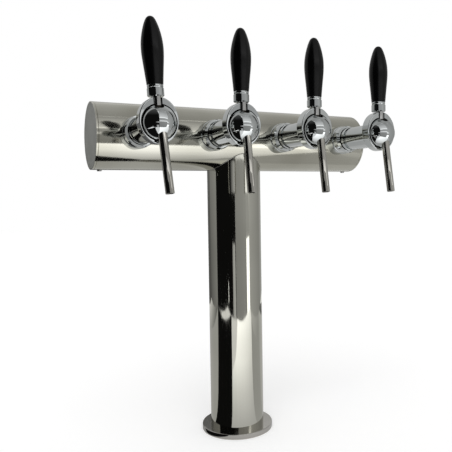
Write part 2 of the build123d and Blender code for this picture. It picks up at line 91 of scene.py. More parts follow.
def grid_faces(rows: int, columns: int, wrap_rows: bool = False, wrap_columns: bool = False) -> np.ndarray:
    """Numbers the faces of a grid of points, row by row.

    Face (i, j) joins points (i, j), (i, j+1), (i+1, j+1) and (i+1, j), with the last row or column
    joined to the first where the grid closes on itself.

    Args:
        rows: Rows of points.
        columns: Points in a row.
        wrap_rows: Whether the last row joins the first.
        wrap_columns: Whether a row's last point joins its first.

    Returns:
        Vertex numbers, one row of four a face.
    """
    row, column = np.meshgrid(
        np.arange(rows if wrap_rows else rows - 1),
        np.arange(columns if wrap_columns else columns - 1),
        indexing="ij",
    )
    next_row = (row + 1) % rows
    next_column = (column + 1) % columns
    corners = (row * columns + column, row * columns + next_column,
               next_row * columns + next_column, next_row * columns + column)
    return np.stack([corner.ravel() for corner in corners], axis=1)


def swept_ring(path: np.ndarray, radius: float, sides: int = 12) -> tuple[np.ndarray, np.ndarray]:
    """Carries a small circle along a closed path.

    Point (i, j) is path(i) + radius * (cos a(j) * side(i) + sin a(j) * up(i)), where side and up are
    square to the path's direction at i and a(j) goes once round the circle.

    Args:
        path: Points of the closed path, n by 3.
        radius: Radius of the circle in metres.
        sides: Points round the circle.

    Returns:
        The points and the faces.
    """
    along = np.roll(path, -1, axis=0) - np.roll(path, 1, axis=0)
    along /= np.linalg.norm(along, axis=1, keepdims=True)
    outward = path - path.mean(axis=0)
    side = outward - (outward * along).sum(axis=1, keepdims=True) * along
    side /= np.linalg.norm(side, axis=1, keepdims=True)
    up = np.cross(side, along)
    turn = np.linspace(0.0, 2.0 * math.pi, sides, endpoint=False)
    circle = np.cos(turn)[None, :, None] * side[:, None, :] + np.sin(turn)[None, :, None] * up[:, None, :]
    points = path[:, None, :] + radius * circle
    return points.reshape(-1, 3), grid_faces(len(path), sides, wrap_rows=True, wrap_columns=True)[:, ::-1]


def turned(profile: np.ndarray, foot: Point, axis: Point, sides: int = 96,
           closed: bool = True) -> tuple[np.ndarray, np.ndarray]:
    """Turns a profile about an axis.

    Point (i, j) is foot + s(i) * axis + r(i) * (cos a(j) * side + sin a(j) * front), where side and
    front are square to the axis and a(j) goes once round it.

    Args:
        profile: Radius and place along the axis of each corner, n by 2, outer side first going
            along the axis.
        foot: Where the axis starts.
        axis: Its direction, of length 1.
        sides: Points round it.
        closed: Whether the profile's last corner joins its first.

    Returns:
        The points and the faces.
    """
    along = np.array(axis)
    side = np.cross(along, (0.0, 1.0, 0.0))
    side /= np.linalg.norm(side)
    front = np.cross(along, side)
    turn = np.linspace(0.0, 2.0 * math.pi, sides, endpoint=False)
    circle = np.cos(turn)[:, None] * side + np.sin(turn)[:, None] * front
    points = np.array(foot) + profile[:, 1, None, None] * along + profile[:, 0, None, None] * circle[None]
    return points.reshape(-1, 3), grid_faces(len(profile), sides, wrap_rows=closed, wrap_columns=True)


# ---- Finishes --------------------------------------------------------------------------------


class Grain(Enum):
    """Which way the marks of working run on a surface."""

    EVEN = "even"
    ALONG_X = "along the x axis"
    ALONG_Z = "along the z axis"
    ROUND_Z = "round the z axis"
    SPUN_X = "in rings about the cross tube's axis"


# How far the marks are squeezed along x, y and z: a small number draws them out that way.
GRAIN_SCALE = {
    Grain.EVEN: (1.0, 1.0, 1.0),
    Grain.ALONG_X: (0.012, 1.0, 1.0),
    Grain.ALONG_Z: (1.0, 1.0, 0.012),
    Grain.ROUND_Z: (0.03, 0.03, 1.0),
    Grain.SPUN_X: (0.0, 1.0, 1.0),
}


NOISE_LOW = 0.3
NOISE_HIGH = 0.7
MARKS_DETAIL = 3.0
MARKS_ROUGHNESS = 0.6
MARKS_SHARE = 0.35
CLOUD_DETAIL = 2.0
# Painted shade for the recesses at each ball: dark, rough, gritty colour that stands in for the shade inside
# the ball and in the hood's dish round it.
RECESS_SHADE_DARK: Colour = (0.030, 0.027, 0.022)
RECESS_SHADE_LIGHT: Colour = (0.085, 0.075, 0.060)
RECESS_SHADE_ROUGHNESS = 0.65
RECESS_SHADE_GRIT = {"Scale": 900.0, "Detail": 4.0}


class NodeSheet:
    """The nodes of a material or a world, with short ways to add and join them."""

    def __init__(self, tree: bpy.types.NodeTree, output: str) -> None:
        """Clears a node tree down to its output.

        Args:
            tree: The node tree.
            output: Type of its output node, without "ShaderNode".
        """
        self.tree = tree
        self.tree.nodes.clear()
        self.output = self.add(output)

    def add(self, kind: str, values: dict[str, object] | None = None, **settings: object) -> bpy.types.Node:
        """Adds a node.

        Args:
            kind: Type of the node, without "ShaderNode".
            values: Values of its input sockets by name.
            **settings: The node's own settings.

        Returns:
            The node.
        """
        node = self.tree.nodes.new("ShaderNode" + kind)
        for name, value in settings.items():
            setattr(node, name, value)
        for name, value in (values or {}).items():
            node.inputs[name].default_value = value
        return node

    def join(self, start: bpy.types.NodeSocket, end: bpy.types.NodeSocket) -> None:
        """Links an output socket to an input socket."""
        self.tree.links.new(start, end)

    def spread(self, source: bpy.types.NodeSocket, low: float, high: float) -> bpy.types.NodeSocket:
        """Maps a noise, which lies about 0.5, onto a range.

        Args:
            source: Output socket of the noise.
            low: Value at the noise's low end.
            high: Value at its high end.

        Returns:
            Output socket of the mapped value.
        """
        limits = {"From Min": NOISE_LOW, "From Max": NOISE_HIGH, "To Min": low, "To Max": high}
        node = self.add("MapRange", limits)
        self.join(source, node.inputs["Value"])
        return node.outputs["Result"]

    def blend(self, factor: bpy.types.NodeSocket, dark: Colour, light: Colour) -> bpy.types.NodeSocket:
        """Mixes two colours by a factor.

        Args:
            factor: Output socket of the factor, 0 for dark and 1 for light.
            dark: Colour at 0.
            light: Colour at 1.

        Returns:
            Output socket of the colour.
        """
        node = self.add("Mix", data_type="RGBA")
        node.inputs[6].default_value = (*dark, 1.0)
        node.inputs[7].default_value = (*light, 1.0)
        self.join(factor, node.inputs[0])
        return node.outputs[2]


def new_material(name: str) -> tuple[bpy.types.Material, NodeSheet]:
    """Starts a material that holds only its output.

    Args:
        name: Name of the material.

    Returns:
        The material and its nodes.
    """
    material = bpy.data.materials.new(name)
    material.use_nodes = True
    return material, NodeSheet(material.node_tree, "OutputMaterial")


@dataclass(frozen=True)
class Finish:
    """A surface finish: two colours close together, a range of roughness and the marks of working.

    Attributes:
        name: Name of the material.
        dark: Darker of its two colours, linear.
        light: Lighter of its two colours, linear.
        rough: Lowest and highest roughness.
        grain: Which way its marks run.
        grain_scale: Marks in a metre.
        grain_depth: Depth of the marks in metres.
        cloud_scale: Slow changes of colour in a metre.
        cloud_depth: Depth of the slow waviness in metres.
        metallic: 1 for a metal and 0 for anything else.
        ior: Refractive index of what isn't a metal.
        centre: Middle of the rings of a spun surface.
        shade_zone: Middle and radius of a ball inside which the colour is painted dark and rough as shade in
            the recess, or nothing.
    """

    name: str
    dark: Colour
    light: Colour
    rough: tuple[float, float]
    grain: Grain = Grain.EVEN
    grain_scale: float = 900.0
    grain_depth: float = 2.0e-7
    cloud_scale: float = 12.0
    cloud_depth: float = 0.0
    metallic: float = 1.0
    ior: float = 1.5
    centre: Point = (0.0, 0.0, 0.4845)
    shade_zone: tuple[Point, float] | None = None

    def marks(self, sheet: NodeSheet, place: bpy.types.NodeSocket) -> bpy.types.NodeSocket:
        """Adds the noise of the finish's marks.

        Args:
            sheet: The material's nodes.
            place: Output socket of the place on the object.

        Returns:
            Output socket of the noise.
        """
        if self.grain is Grain.SPUN_X:
            offset = sheet.add("VectorMath", operation="SUBTRACT")
            offset.inputs[1].default_value = self.centre
            flat = sheet.add("VectorMath", operation="MULTIPLY")
            flat.inputs[1].default_value = GRAIN_SCALE[self.grain]
            length = sheet.add("VectorMath", operation="LENGTH")
            values = {"Scale": self.grain_scale, "Detail": MARKS_DETAIL}
            noise = sheet.add("TexNoise", values, noise_dimensions="1D")
            sheet.join(place, offset.inputs[0])
            sheet.join(offset.outputs["Vector"], flat.inputs[0])
            sheet.join(flat.outputs["Vector"], length.inputs[0])
            sheet.join(length.outputs["Value"], noise.inputs["W"])
            return noise.outputs["Fac"]
        stretch = sheet.add("Mapping", {"Scale": GRAIN_SCALE[self.grain]})
        values = {"Scale": self.grain_scale, "Detail": MARKS_DETAIL, "Roughness": MARKS_ROUGHNESS}
        noise = sheet.add("TexNoise", values)
        sheet.join(place, stretch.inputs["Vector"])
        sheet.join(stretch.outputs["Vector"], noise.inputs["Vector"])
        return noise.outputs["Fac"]

    def material(self) -> bpy.types.Material:
        """Makes the finish's material."""
        material, sheet = new_material(self.name)
        place = sheet.add("TexCoord").outputs["Object"]
        cloud = sheet.add("TexNoise", {"Scale": self.cloud_scale, "Detail": CLOUD_DETAIL})
        sheet.join(place, cloud.inputs["Vector"])
        marks = self.marks(sheet, place)
        shader = sheet.add("BsdfPrincipled", {"Metallic": self.metallic, "IOR": self.ior})
        both = sheet.add("Math", operation="MULTIPLY_ADD")
        both.inputs[1].default_value = MARKS_SHARE
        sheet.join(marks, both.inputs[0])
        slow = sheet.spread(cloud.outputs["Fac"], -MARKS_SHARE / 2.0, 1.0 - MARKS_SHARE / 2.0)
        sheet.join(slow, both.inputs[2])
        colour = sheet.blend(both.outputs["Value"], self.dark, self.light)
        rough = sheet.spread(marks, *self.rough)
        # Painted shade: inside the given ball the colour goes dark and rough.
        if self.shade_zone:
            colour, rough = self.add_painted_shade(sheet, place, colour, rough)
        sheet.join(colour, shader.inputs["Base Color"])
        sheet.join(rough, shader.inputs["Roughness"])
        fine = sheet.add("Bump", {"Strength": 1.0, "Distance": self.grain_depth})
        sheet.join(marks, fine.inputs["Height"])
        if self.cloud_depth:
            wave = sheet.add("Bump", {"Strength": 1.0, "Distance": self.cloud_depth})
            sheet.join(cloud.outputs["Fac"], wave.inputs["Height"])
            sheet.join(wave.outputs["Normal"], fine.inputs["Normal"])
        sheet.join(fine.outputs["Normal"], shader.inputs["Normal"])
        sheet.join(shader.outputs["BSDF"], sheet.output.inputs["Surface"])
        return material

    def add_painted_shade(self, sheet: NodeSheet, place: bpy.types.NodeSocket, colour: bpy.types.NodeSocket,
                    rough: bpy.types.NodeSocket) -> tuple[bpy.types.NodeSocket, bpy.types.NodeSocket]:
        """Paints shade inside the ball: a dark, rough, gritty colour stands in for the shade that falls in
        the recess.

        Args:
            sheet: The material's nodes.
            place: Output socket of the place on the object.
            colour: Output socket of the outside's colour.
            rough: Output socket of the outside's roughness.

        Returns:
            Output sockets of the colour and the roughness, inside and out.
        """
        middle, radius = self.shade_zone
        shade_grit = sheet.add("TexNoise", RECESS_SHADE_GRIT)
        distance = sheet.add("VectorMath", operation="DISTANCE")
        distance.inputs[1].default_value = middle
        within = sheet.add("Math", operation="LESS_THAN")
        within.inputs[1].default_value = radius
        colours = sheet.add("Mix", data_type="RGBA")
        roughs = sheet.add("Mix", data_type="FLOAT")
        roughs.inputs[3].default_value = RECESS_SHADE_ROUGHNESS
        shade_colour = sheet.blend(shade_grit.outputs["Fac"], RECESS_SHADE_DARK, RECESS_SHADE_LIGHT)
        sheet.join(place, shade_grit.inputs["Vector"])
        sheet.join(place, distance.inputs[0])
        sheet.join(distance.outputs["Value"], within.inputs[0])
        sheet.join(within.outputs["Value"], colours.inputs[0])
        sheet.join(within.outputs["Value"], roughs.inputs[0])
        sheet.join(colour, colours.inputs[6])
        sheet.join(shade_colour, colours.inputs[7])
        sheet.join(rough, roughs.inputs[2])
        return colours.outputs[2], roughs.outputs[0]


MIRROR_TUBE = Finish(
    "mirror_steel_tube", (0.440, 0.430, 0.368), (0.610, 0.603, 0.540), (0.060, 0.130),
    grain=Grain.ALONG_X, grain_scale=420.0, grain_depth=4.5e-5, cloud_scale=9.0,
)
MIRROR_COLUMN = Finish(
    "mirror_steel_column", (0.510, 0.505, 0.450), (0.590, 0.585, 0.525), (0.030, 0.070),
    grain=Grain.ALONG_Z, grain_scale=420.0, grain_depth=1.2e-5, cloud_scale=9.0,
)
FLANGE_STEEL = Finish(
    "polished_flange", (0.510, 0.495, 0.460), (0.580, 0.565, 0.530), (0.060, 0.110),
    grain=Grain.ROUND_Z, grain_scale=900.0, grain_depth=3.0e-7, cloud_scale=14.0,
)
SATIN_CAP = Finish(
    "satin_end_cap", (0.240, 0.246, 0.228), (0.310, 0.316, 0.296), (0.420, 0.520),
    grain=Grain.SPUN_X, grain_scale=1600.0, grain_depth=2.0e-6, cloud_scale=25.0, metallic=0.45,
)
CHROME = Finish(
    "bright_chrome", (0.530, 0.553, 0.553), (0.600, 0.623, 0.623), (0.020, 0.045),
    grain=Grain.EVEN, grain_scale=700.0, grain_depth=6.0e-8, cloud_scale=20.0, cloud_depth=6.0e-6,
)
SPOUT_STEEL = Finish(
    "spout_steel", (0.500, 0.488, 0.450), (0.590, 0.578, 0.535), (0.030, 0.060),
    grain=Grain.ALONG_Z, grain_scale=1200.0, grain_depth=2.0e-8, cloud_scale=25.0,
)
ROD_STEEL = Finish(
    "bright_rod_steel", (0.500, 0.500, 0.490), (0.590, 0.590, 0.580), (0.050, 0.100),
    grain=Grain.ROUND_Z, grain_scale=1500.0, grain_depth=3.0e-7, cloud_scale=30.0,
)
PLAIN_BRASS = Finish(
    "turned_brass", (0.620, 0.420, 0.170), (0.720, 0.510, 0.230), (0.200, 0.320),
    grain=Grain.ALONG_Z, grain_scale=1200.0, grain_depth=1.0e-6, cloud_scale=30.0,
)
SCREW_STEEL = Finish(
    "screw_steel", (0.400, 0.400, 0.390), (0.500, 0.500, 0.490), (0.180, 0.280),
    grain=Grain.EVEN, grain_scale=2500.0, grain_depth=1.0e-6, cloud_scale=60.0,
)
WELD_STEEL = Finish(
    "ground_weld", (0.230, 0.225, 0.215), (0.400, 0.390, 0.370), (0.220, 0.380),
    grain=Grain.EVEN, grain_scale=1800.0, grain_depth=8.0e-6, cloud_scale=160.0, cloud_depth=2.0e-5,
)
HANDLE_BLACK = Finish(
    "black_moulding", (0.0008, 0.0008, 0.0009), (0.0016, 0.0016, 0.0018), (0.200, 0.260),
    grain=Grain.EVEN, grain_scale=2600.0, grain_depth=6.0e-6, cloud_scale=18.0, metallic=0.0, ior=1.32,
)
SEAL_RUBBER = Finish(
    "seal_rubber", (0.020, 0.020, 0.020), (0.035, 0.035, 0.035), (0.600, 0.750),
    grain=Grain.EVEN, grain_scale=3000.0, grain_depth=2.0e-5, cloud_scale=40.0, metallic=0.0,
)
LINE_PLASTIC = Finish(
    "line_plastic", (0.560, 0.600, 0.620), (0.680, 0.720, 0.740), (0.220, 0.340),
    grain=Grain.EVEN, grain_scale=1200.0, grain_depth=1.0e-5, cloud_scale=30.0, metallic=0.0,
)
FOAM = Finish(
    "pipe_foam", (0.050, 0.050, 0.052), (0.090, 0.090, 0.092), (0.850, 0.950),
    grain=Grain.EVEN, grain_scale=1500.0, grain_depth=1.5e-4, cloud_scale=60.0, metallic=0.0,
)


def dress(node_name: str, material: bpy.types.Material) -> None:
    """Gives every face of a CAD node one material.

    Args:
        node_name: Name of the node.
        material: The material.
    """
    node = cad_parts[node_name]
    for place in node.material_slots:
        place.material = material


# ---- Sub-assemblies --------------------------------------------------------------------------


@dataclass
class Tower:
    """Cross tube, column, flange and end caps, with what lines them.

    Attributes:
        tube_radius: Outer radius of the cross tube.
        tube_bore: Its inner radius.
        tube_half_length: Half of its length.
        tube_height: Height of its axis.
        lip: Width of the end cap's lip, from the tube's end to the seam.
        seam_width: Width of the seam beside the lip.
        seam_depth: Its depth.
        column_radius: Outer radius of the column.
        column_bore: Its inner radius.
        column_foot: Height of its foot, on the flange.
        wall_sides: Points round the tube and the column.
        bead_radius: Radius of the weld bead.
        bead_points: Points along the bead.
        body: The body that everything here rides on.
        pieces: Names of the pieces made or dressed.
    """

    tube_radius: float = 0.0508
    tube_bore: float = 0.0493
    tube_half_length: float = 0.2325
    tube_height: float = 0.4845
    lip: float = 0.0030
    seam_width: float = 0.0008
    seam_depth: float = 0.0005
    column_radius: float = 0.04445
    column_bore: float = 0.04295
    column_foot: float = 0.0085
    wall_sides: int = 360
    bead_radius: float = 0.0007
    bead_points: int = 240
    body: str = "tower"
    pieces: list[str] = field(default_factory=list)

    def seam_path(self) -> np.ndarray:
        """Draws the line where the column meets the cross tube.

        Point(t) = (c cos t, c sin t, h - sqrt(r^2 - (c sin t)^2)), with the column's radius c, the
        tube's radius r and its axis at height h.

        Returns:
            Points round the seam, n by 3.
        """
        turn = np.linspace(0.0, 2.0 * math.pi, self.bead_points, endpoint=False)
        across = self.column_radius * np.sin(turn)
        drop = np.sqrt(self.tube_radius**2 - across**2)
        return np.stack([self.column_radius * np.cos(turn), across, self.tube_height - drop], axis=1)

    def build_tube(self, material: bpy.types.Material) -> bpy.types.Object:
        """Rolls the cross tube's wall, smooth all round, with the fine seam of each end cap's lip.

        Args:
            material: The tube's material.

        Returns:
            The tube.
        """
        length = 2.0 * self.tube_half_length
        outer, half, depth = self.tube_radius, self.seam_width / 2.0, self.seam_depth
        seams = [
            (radius, middle + shift)
            for middle in (self.lip, length - self.lip)
            for radius, shift in ((outer, -half), (outer - depth, 0.0), (outer, half))
        ]
        ends = [(outer, length), (self.tube_bore, length), (self.tube_bore, 0.0)]
        profile = np.array([(outer, 0.0), *seams, *ends])
        foot = (-self.tube_half_length, 0.0, self.tube_height)
        points, faces = turned(profile, foot, (1.0, 0.0, 0.0), self.wall_sides)
        tube = mesh_object("tube_wall", points, faces)
        tube.data.set_sharp_from_angle(angle=SHARP_ANGLE)
        tube.data.materials.append(material)
        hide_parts("tee_tube")
        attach(tube, self.body)
        return tube

    def build_column(self, material: bpy.types.Material) -> bpy.types.Object:
        """Rolls the column's wall, smooth all round, from the flange up to the cross tube.

        The wall's section has four corners: outer foot, outer top, inner top and inner foot. Each
        is (r cos t, r sin t, z), and at the top z = h - sqrt(R^2 - (r sin t)^2), with the wall's
        radius r, the cross tube's radius R and its axis at height h.

        Args:
            material: The column's material.

        Returns:
            The column.
        """
        turn = np.linspace(0.0, 2.0 * math.pi, self.wall_sides, endpoint=False)
        outer, inner = self.column_radius, self.column_bore
        radius = np.array([outer, outer, inner, inner])[:, None]
        across = radius * np.sin(turn)
        top = self.tube_height - np.sqrt(self.tube_radius**2 - across**2)
        is_top = np.array([0.0, 1.0, 1.0, 0.0])[:, None]
        height = is_top * top + (1.0 - is_top) * self.column_foot
        points = np.stack([radius * np.cos(turn), across, height], axis=-1).reshape(-1, 3)
        faces = grid_faces(4, self.wall_sides, wrap_rows=True, wrap_columns=True)
        column = mesh_object("column_wall", points, faces)
        column.data.set_sharp_from_angle(angle=SHARP_ANGLE)
        column.data.materials.append(material)
        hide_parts("column_tube")
        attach(column, self.body)
        return column

    def build_weld_bead(self, material: bpy.types.Material) -> bpy.types.Object:
        """Lays the ground weld bead round the seam.

        Args:
            material: The bead's material.

        Returns:
            The bead.
        """
        points, faces = swept_ring(self.seam_path(), self.bead_radius)
        bead = mesh_object("weld_bead", points, faces)
        bead.data.materials.append(material)
        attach(bead, self.body)
        return bead

    def build(self) -> None:
        """Dresses the tower's nodes, draws its walls and adds its bead."""
        cap = SATIN_CAP.material()
        finishes = {
            "base_flange": FLANGE_STEEL.material(),
            "end_cap_left": cap,
            "end_cap_right": cap,
            "end_cap_screws": SCREW_STEEL.material(),
            "base_gasket": SEAL_RUBBER.material(),
            "insulation_sleeve": FOAM.material(),
            "beer_lines": LINE_PLASTIC.material(),
        }
        for node_name, material in finishes.items():
            dress(node_name, material)
            self.pieces.append(node_name)
        self.pieces.append(self.build_tube(MIRROR_TUBE.material()).name)
        self.pieces.append(self.build_column(MIRROR_COLUMN.material()).name)
        self.pieces.append(self.build_weld_bead(WELD_STEEL.material()).name)
        for piece in self.pieces:
            LOG.info("tower: %s", piece)


@dataclass
class TapSet:
    """The four ball-head taps, from the shank to the handle.

    Attributes:
        count: Taps on the tower.
        pitch: From one tap to the next.
        axis_height: Height of a tap's axis.
        ball_reach: From the cross tube's axis to the ball's middle.
        ball_rise: Height of the ball's middle over the tap's axis.
        ball_radius: Radius of the ball.
        shade_inset: How deep in the ball the painted shade starts.
        shade_in_hood: How far outside the ball the hood is painted dark as shade.
        turn: Turn of each tap about its own axis, in degrees.
        spout_tip_ahead: How far the spout's tip stands ahead of the ball's middle.
        spout_tip_drop: Depth of the tip under the tap's axis.
        spout_length: Length of the spout.
        spout_root_length: Length of its thicker root.
        spout_tilt: Its tilt forwards, in degrees.
        spout_radii: Radii of its root, its tube and its bore.
        spout_edge: Size of the eased edge at its tip.
        spout_ease: Share of that size at the edge's middle.
        handle_behind: How far the handle stands behind the ball's middle.
        handle_foot: Height of its foot over the tap's axis.
        handle_bore: Radius and depth of its bore for the lever's stud.
        handle_curve: Radius and height of its outline's corners, in millimetres over its foot.
        handle_steps: Points from one corner to the next.
        handle_sharp: Angle from which its edges stay sharp, in degrees.
        merge_distance: Distance under which the handle's points on its axis are made one.
        pieces: Names of the pieces made or dressed.
    """

    count: int = 4
    pitch: float = 0.118
    axis_height: float = 0.485
    ball_reach: float = 0.166
    ball_rise: float = 0.002
    ball_radius: float = 0.023
    shade_inset: float = 0.0006
    shade_in_hood: float = 0.0013
    turn: tuple[float, ...] = (-3.3, 0.0, 0.0, 0.0)
    spout_tip_ahead: float = 0.026
    spout_tip_drop: float = 0.089
    spout_length: float = 0.080
    spout_root_length: float = 0.0095
    spout_tilt: float = 9.6
    spout_radii: tuple[float, float, float] = (0.0060, 0.00575, 0.00475)
    spout_edge: float = 0.0002
    spout_ease: float = 0.3
    handle_behind: float = 0.0030
    handle_foot: float = 0.0507
    handle_bore: tuple[float, float] = (0.00305, 0.0305)
    handle_curve: tuple[Place, ...] = (
        (10.70, 0.0), (11.50, 9.1), (12.50, 19.7), (13.55, 30.3), (14.20, 39.0), (14.30, 46.0), (13.95, 53.0),
        (13.00, 60.0), (11.65, 66.5), (10.00, 72.5), (8.20, 77.8), (5.90, 82.7), (3.30, 85.4), (0.0, 86.3),
    )
    handle_steps: int = 8
    handle_sharp: float = 50.0
    merge_distance: float = 1.0e-7
    pieces: list[str] = field(default_factory=list)

    def placed(self, number: int, above: float, ahead: float) -> Point:
        """Finds a place of a tap, which is turned by t about its own axis.

        A place u above the axis and v ahead of the cross tube's axis lies at
        (across + u sin t, -v, height + u cos t).

        Args:
            number: The tap, from 1 at the -X end.
            above: Height above the tap's axis in metres.
            ahead: Distance ahead of the cross tube's axis in metres.

        Returns:
            The place in metres.
        """
        turn = math.radians(self.turn[number - 1])
        across = (number - (self.count + 1) / 2) * self.pitch
        return (across + above * math.sin(turn), -ahead, self.axis_height + above * math.cos(turn))

    def upwards(self, number: int) -> Point:
        """Finds a tap's own upward direction."""
        turn = math.radians(self.turn[number - 1])
        return (math.sin(turn), 0.0, math.cos(turn))

    def spout_line(self, number: int) -> tuple[Point, Point]:
        """Finds where a tap's spout starts, and its direction: down and tilted forwards.

        Args:
            number: The tap, from 1 at the -X end.

        Returns:
            The start, and the direction with a length of 1.
        """
        tilt = math.radians(self.spout_tilt)
        rise = self.spout_length * math.cos(tilt) - self.spout_tip_drop
        ahead = self.ball_reach + self.spout_tip_ahead - self.spout_length * math.sin(tilt)
        side, _, up = self.upwards(number)
        down = math.cos(tilt)
        return self.placed(number, rise, ahead), (-down * side, -math.sin(tilt), -down * up)

    def build_spout(self, number: int, material: bpy.types.Material) -> bpy.types.Object:
        """Draws a tap's straight spout, smooth all round, with its pressed root and an eased tip.

        Args:
            number: The tap, from 1 at the -X end.
            material: The spout's material.

        Returns:
            The spout.
        """
        foot, axis = self.spout_line(number)
        root, outer, bore = self.spout_radii
        shoulder, tip, edge = self.spout_root_length, self.spout_length, self.spout_edge
        ease = self.spout_ease * edge
        profile = np.array([
            (bore, 0.0), (root, 0.0), (root, shoulder), (outer, shoulder),
            (outer, tip - edge), (outer - ease, tip - ease), (outer - edge, tip),
            (bore + edge, tip), (bore, tip - edge),
        ])
        points, faces = turned(profile, foot, axis)
        spout = mesh_object(f"spout_tube_{number}", points, faces)
        spout.data.set_sharp_from_angle(angle=SHARP_ANGLE)
        spout.data.materials.append(material)
        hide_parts(f"spout_{number}")
        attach(spout, "tower")
        return spout

    def handle_profile(self) -> np.ndarray:
        """Draws the handle's outline from its foot to its tip, and its bore for the lever's stud.

        The outline is a Catmull-Rom curve: between corners p1 and p2, with p0 before and p3 after,
        it is p1 + (p2 - p0) t/2 + (2 p0 - 5 p1 + 4 p2 - p3) t^2/2 + (3 p1 - p0 - 3 p2 + p3) t^3/2.

        Returns:
            Radius and height of each point in metres, n by 2, from the bore's end to the tip.
        """
        corners = np.array(self.handle_curve) / MILLIMETRES
        before = 2.0 * corners[:1] - corners[1:2]
        after = corners[-2:-1] * (-1.0, 1.0)
        run = np.concatenate([before, corners, after])
        p0, p1, p2, p3 = (run[shift:len(run) - 3 + shift, None, :] for shift in range(4))
        t = np.linspace(0.0, 1.0, self.handle_steps, endpoint=False)[None, :, None]
        curve = p1 + (p2 - p0) * t / 2 + (2 * p0 - 5 * p1 + 4 * p2 - p3) * t**2 / 2
        curve += (3 * p1 - p0 - 3 * p2 + p3) * t**3 / 2
        radius, depth = self.handle_bore
        inside = np.array([(0.0, depth), (radius, depth), (radius, 0.0)])
        return np.concatenate([inside, curve.reshape(-1, 2), corners[-1:]])

    def build_handle(self, number: int, material: bpy.types.Material) -> bpy.types.Object:
        """Turns a tap's handle, bellied above the middle and drawn in to a small round tip.

        Args:
            number: The tap, from 1 at the -X end.
            material: The handle's material.

        Returns:
            The handle.
        """
        foot = self.placed(number, self.handle_foot, self.ball_reach - self.handle_behind)
        points, faces = turned(self.handle_profile(), foot, self.upwards(number), closed=False)
        handle = mesh_object(f"grip_{number}", points, faces)
        shape = bmesh.new()
        shape.from_mesh(handle.data)
        bmesh.ops.remove_doubles(shape, verts=shape.verts, dist=self.merge_distance)
        bmesh.ops.recalc_face_normals(shape, faces=shape.faces)
        shape.to_mesh(handle.data)
        shape.free()
        handle.data.set_sharp_from_angle(angle=math.radians(self.handle_sharp))
        handle.data.materials.append(material)
        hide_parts(f"handle_{number}")
        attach(handle, f"lever_{number}")
        return handle

    def shaded_ball_finishes(self, number: int) -> dict[str, bpy.types.Material]:
        """Makes the finishes of the pieces at a tap's ball: bright outside, with painted shade inside the
        ball and in the hood round it.

        Args:
            number: The tap, from 1 at the -X end.

        Returns:
            The materials by the first words of their nodes' names.
        """
        middle = self.placed(number, self.ball_rise, self.ball_reach)
        # Painted shade: the ball's inside, the lever's neck within it and the hood's dish round it are
        # painted dark as shade.
        ball_shade_zone = (middle, self.ball_radius - self.shade_inset)
        hood_shade_zone = (middle, self.ball_radius + self.shade_in_hood)
        finishes = {
            "tap_body": replace(CHROME, name=f"hood_chrome_{number}", shade_zone=hood_shade_zone),
            "ball_head": replace(CHROME, name=f"ball_chrome_{number}", shade_zone=ball_shade_zone),
            "lever": replace(ROD_STEEL, name=f"lever_steel_{number}", shade_zone=ball_shade_zone),
        }
        return {stem: finish.material() for stem, finish in finishes.items()}

    def build(self) -> None:
        """Dresses every node of the taps and draws the spouts and handles."""
        chrome = CHROME.material()
        spout_steel = SPOUT_STEEL.material()
        brass = PLAIN_BRASS.material()
        screw = SCREW_STEEL.material()
        black = HANDLE_BLACK.material()
        rubber = SEAL_RUBBER.material()
        finishes = {
            "saddle_ring": chrome,
            "coupling_nut": chrome,
            "ferrule": chrome,
            "shank": brass,
            "piston": brass,
            "piston_seal": rubber,
        }
        for number in range(1, self.count + 1):
            for stem, material in {**finishes, **self.shaded_ball_finishes(number)}.items():
                dress(f"{stem}_{number}", material)
                self.pieces.append(f"{stem}_{number}")
            self.pieces.append(self.build_spout(number, spout_steel).name)
            self.pieces.append(self.build_handle(number, black).name)
        sets = {"lock_nuts": brass, "line_nuts": brass, "shank_seals": rubber,
                "barrel_screws": screw, "lever_pins": screw}
        for node_name, material in sets.items():
            dress(node_name, material)
            self.pieces.append(node_name)
        for piece in self.pieces:
            LOG.info("taps: %s", piece)


# ---- Studio ----------------------------------------------------------------------------------


CARD_POINTS = 9


@dataclass(frozen=True)
class Card:
    """A lit or dark card of the studio, which only reflections show.

    Attributes:
        name: Name of the card.
        corners: Its four corners, in order round it.
        glow: How bright it is at each corner.
        tint: Its colour.
    """

    name: str
    corners: tuple[Point, Point, Point, Point]
    glow: tuple[float, float, float, float]
    tint: Colour = WHITE

    def surface(self) -> tuple[np.ndarray, np.ndarray]:
        """Stretches the card between its corners.

        Point(u, v) and the glow there are the mean of the four corners, weighed by (1-u)(1-v),
        u(1-v), uv and (1-u)v.

        Returns:
            The points of a square grid, and the glow at each.
        """
        side = np.linspace(0.0, 1.0, CARD_POINTS)
        u, v = np.meshgrid(side, side, indexing="ij")
        weights = np.stack([(1 - u) * (1 - v), u * (1 - v), u * v, (1 - u) * v], axis=-1).reshape(-1, 4)
        return weights @ np.array(self.corners), weights @ np.array(self.glow)

    def build(self) -> bpy.types.Object:
        """Makes the card's mesh and its light, and keeps it out of all but reflections."""
        points, strength = self.surface()
        card = mesh_object(self.name, points, grid_faces(CARD_POINTS, CARD_POINTS))
        glow = card.data.attributes.new("glow", "FLOAT", "POINT")
        glow.data.foreach_set("value", strength.astype(np.float32))
        material, sheet = new_material(self.name)
        reading = sheet.add("Attribute", attribute_name="glow")
        light = sheet.add("Emission", {"Color": (*self.tint, 1.0)})
        sheet.join(reading.outputs["Fac"], light.inputs["Strength"])
        sheet.join(light.outputs["Emission"], sheet.output.inputs["Surface"])
        card.data.materials.append(material)
        card.visible_camera = False
        card.visible_diffuse = False
        card.visible_transmission = False
        card.visible_shadow = False
        return card


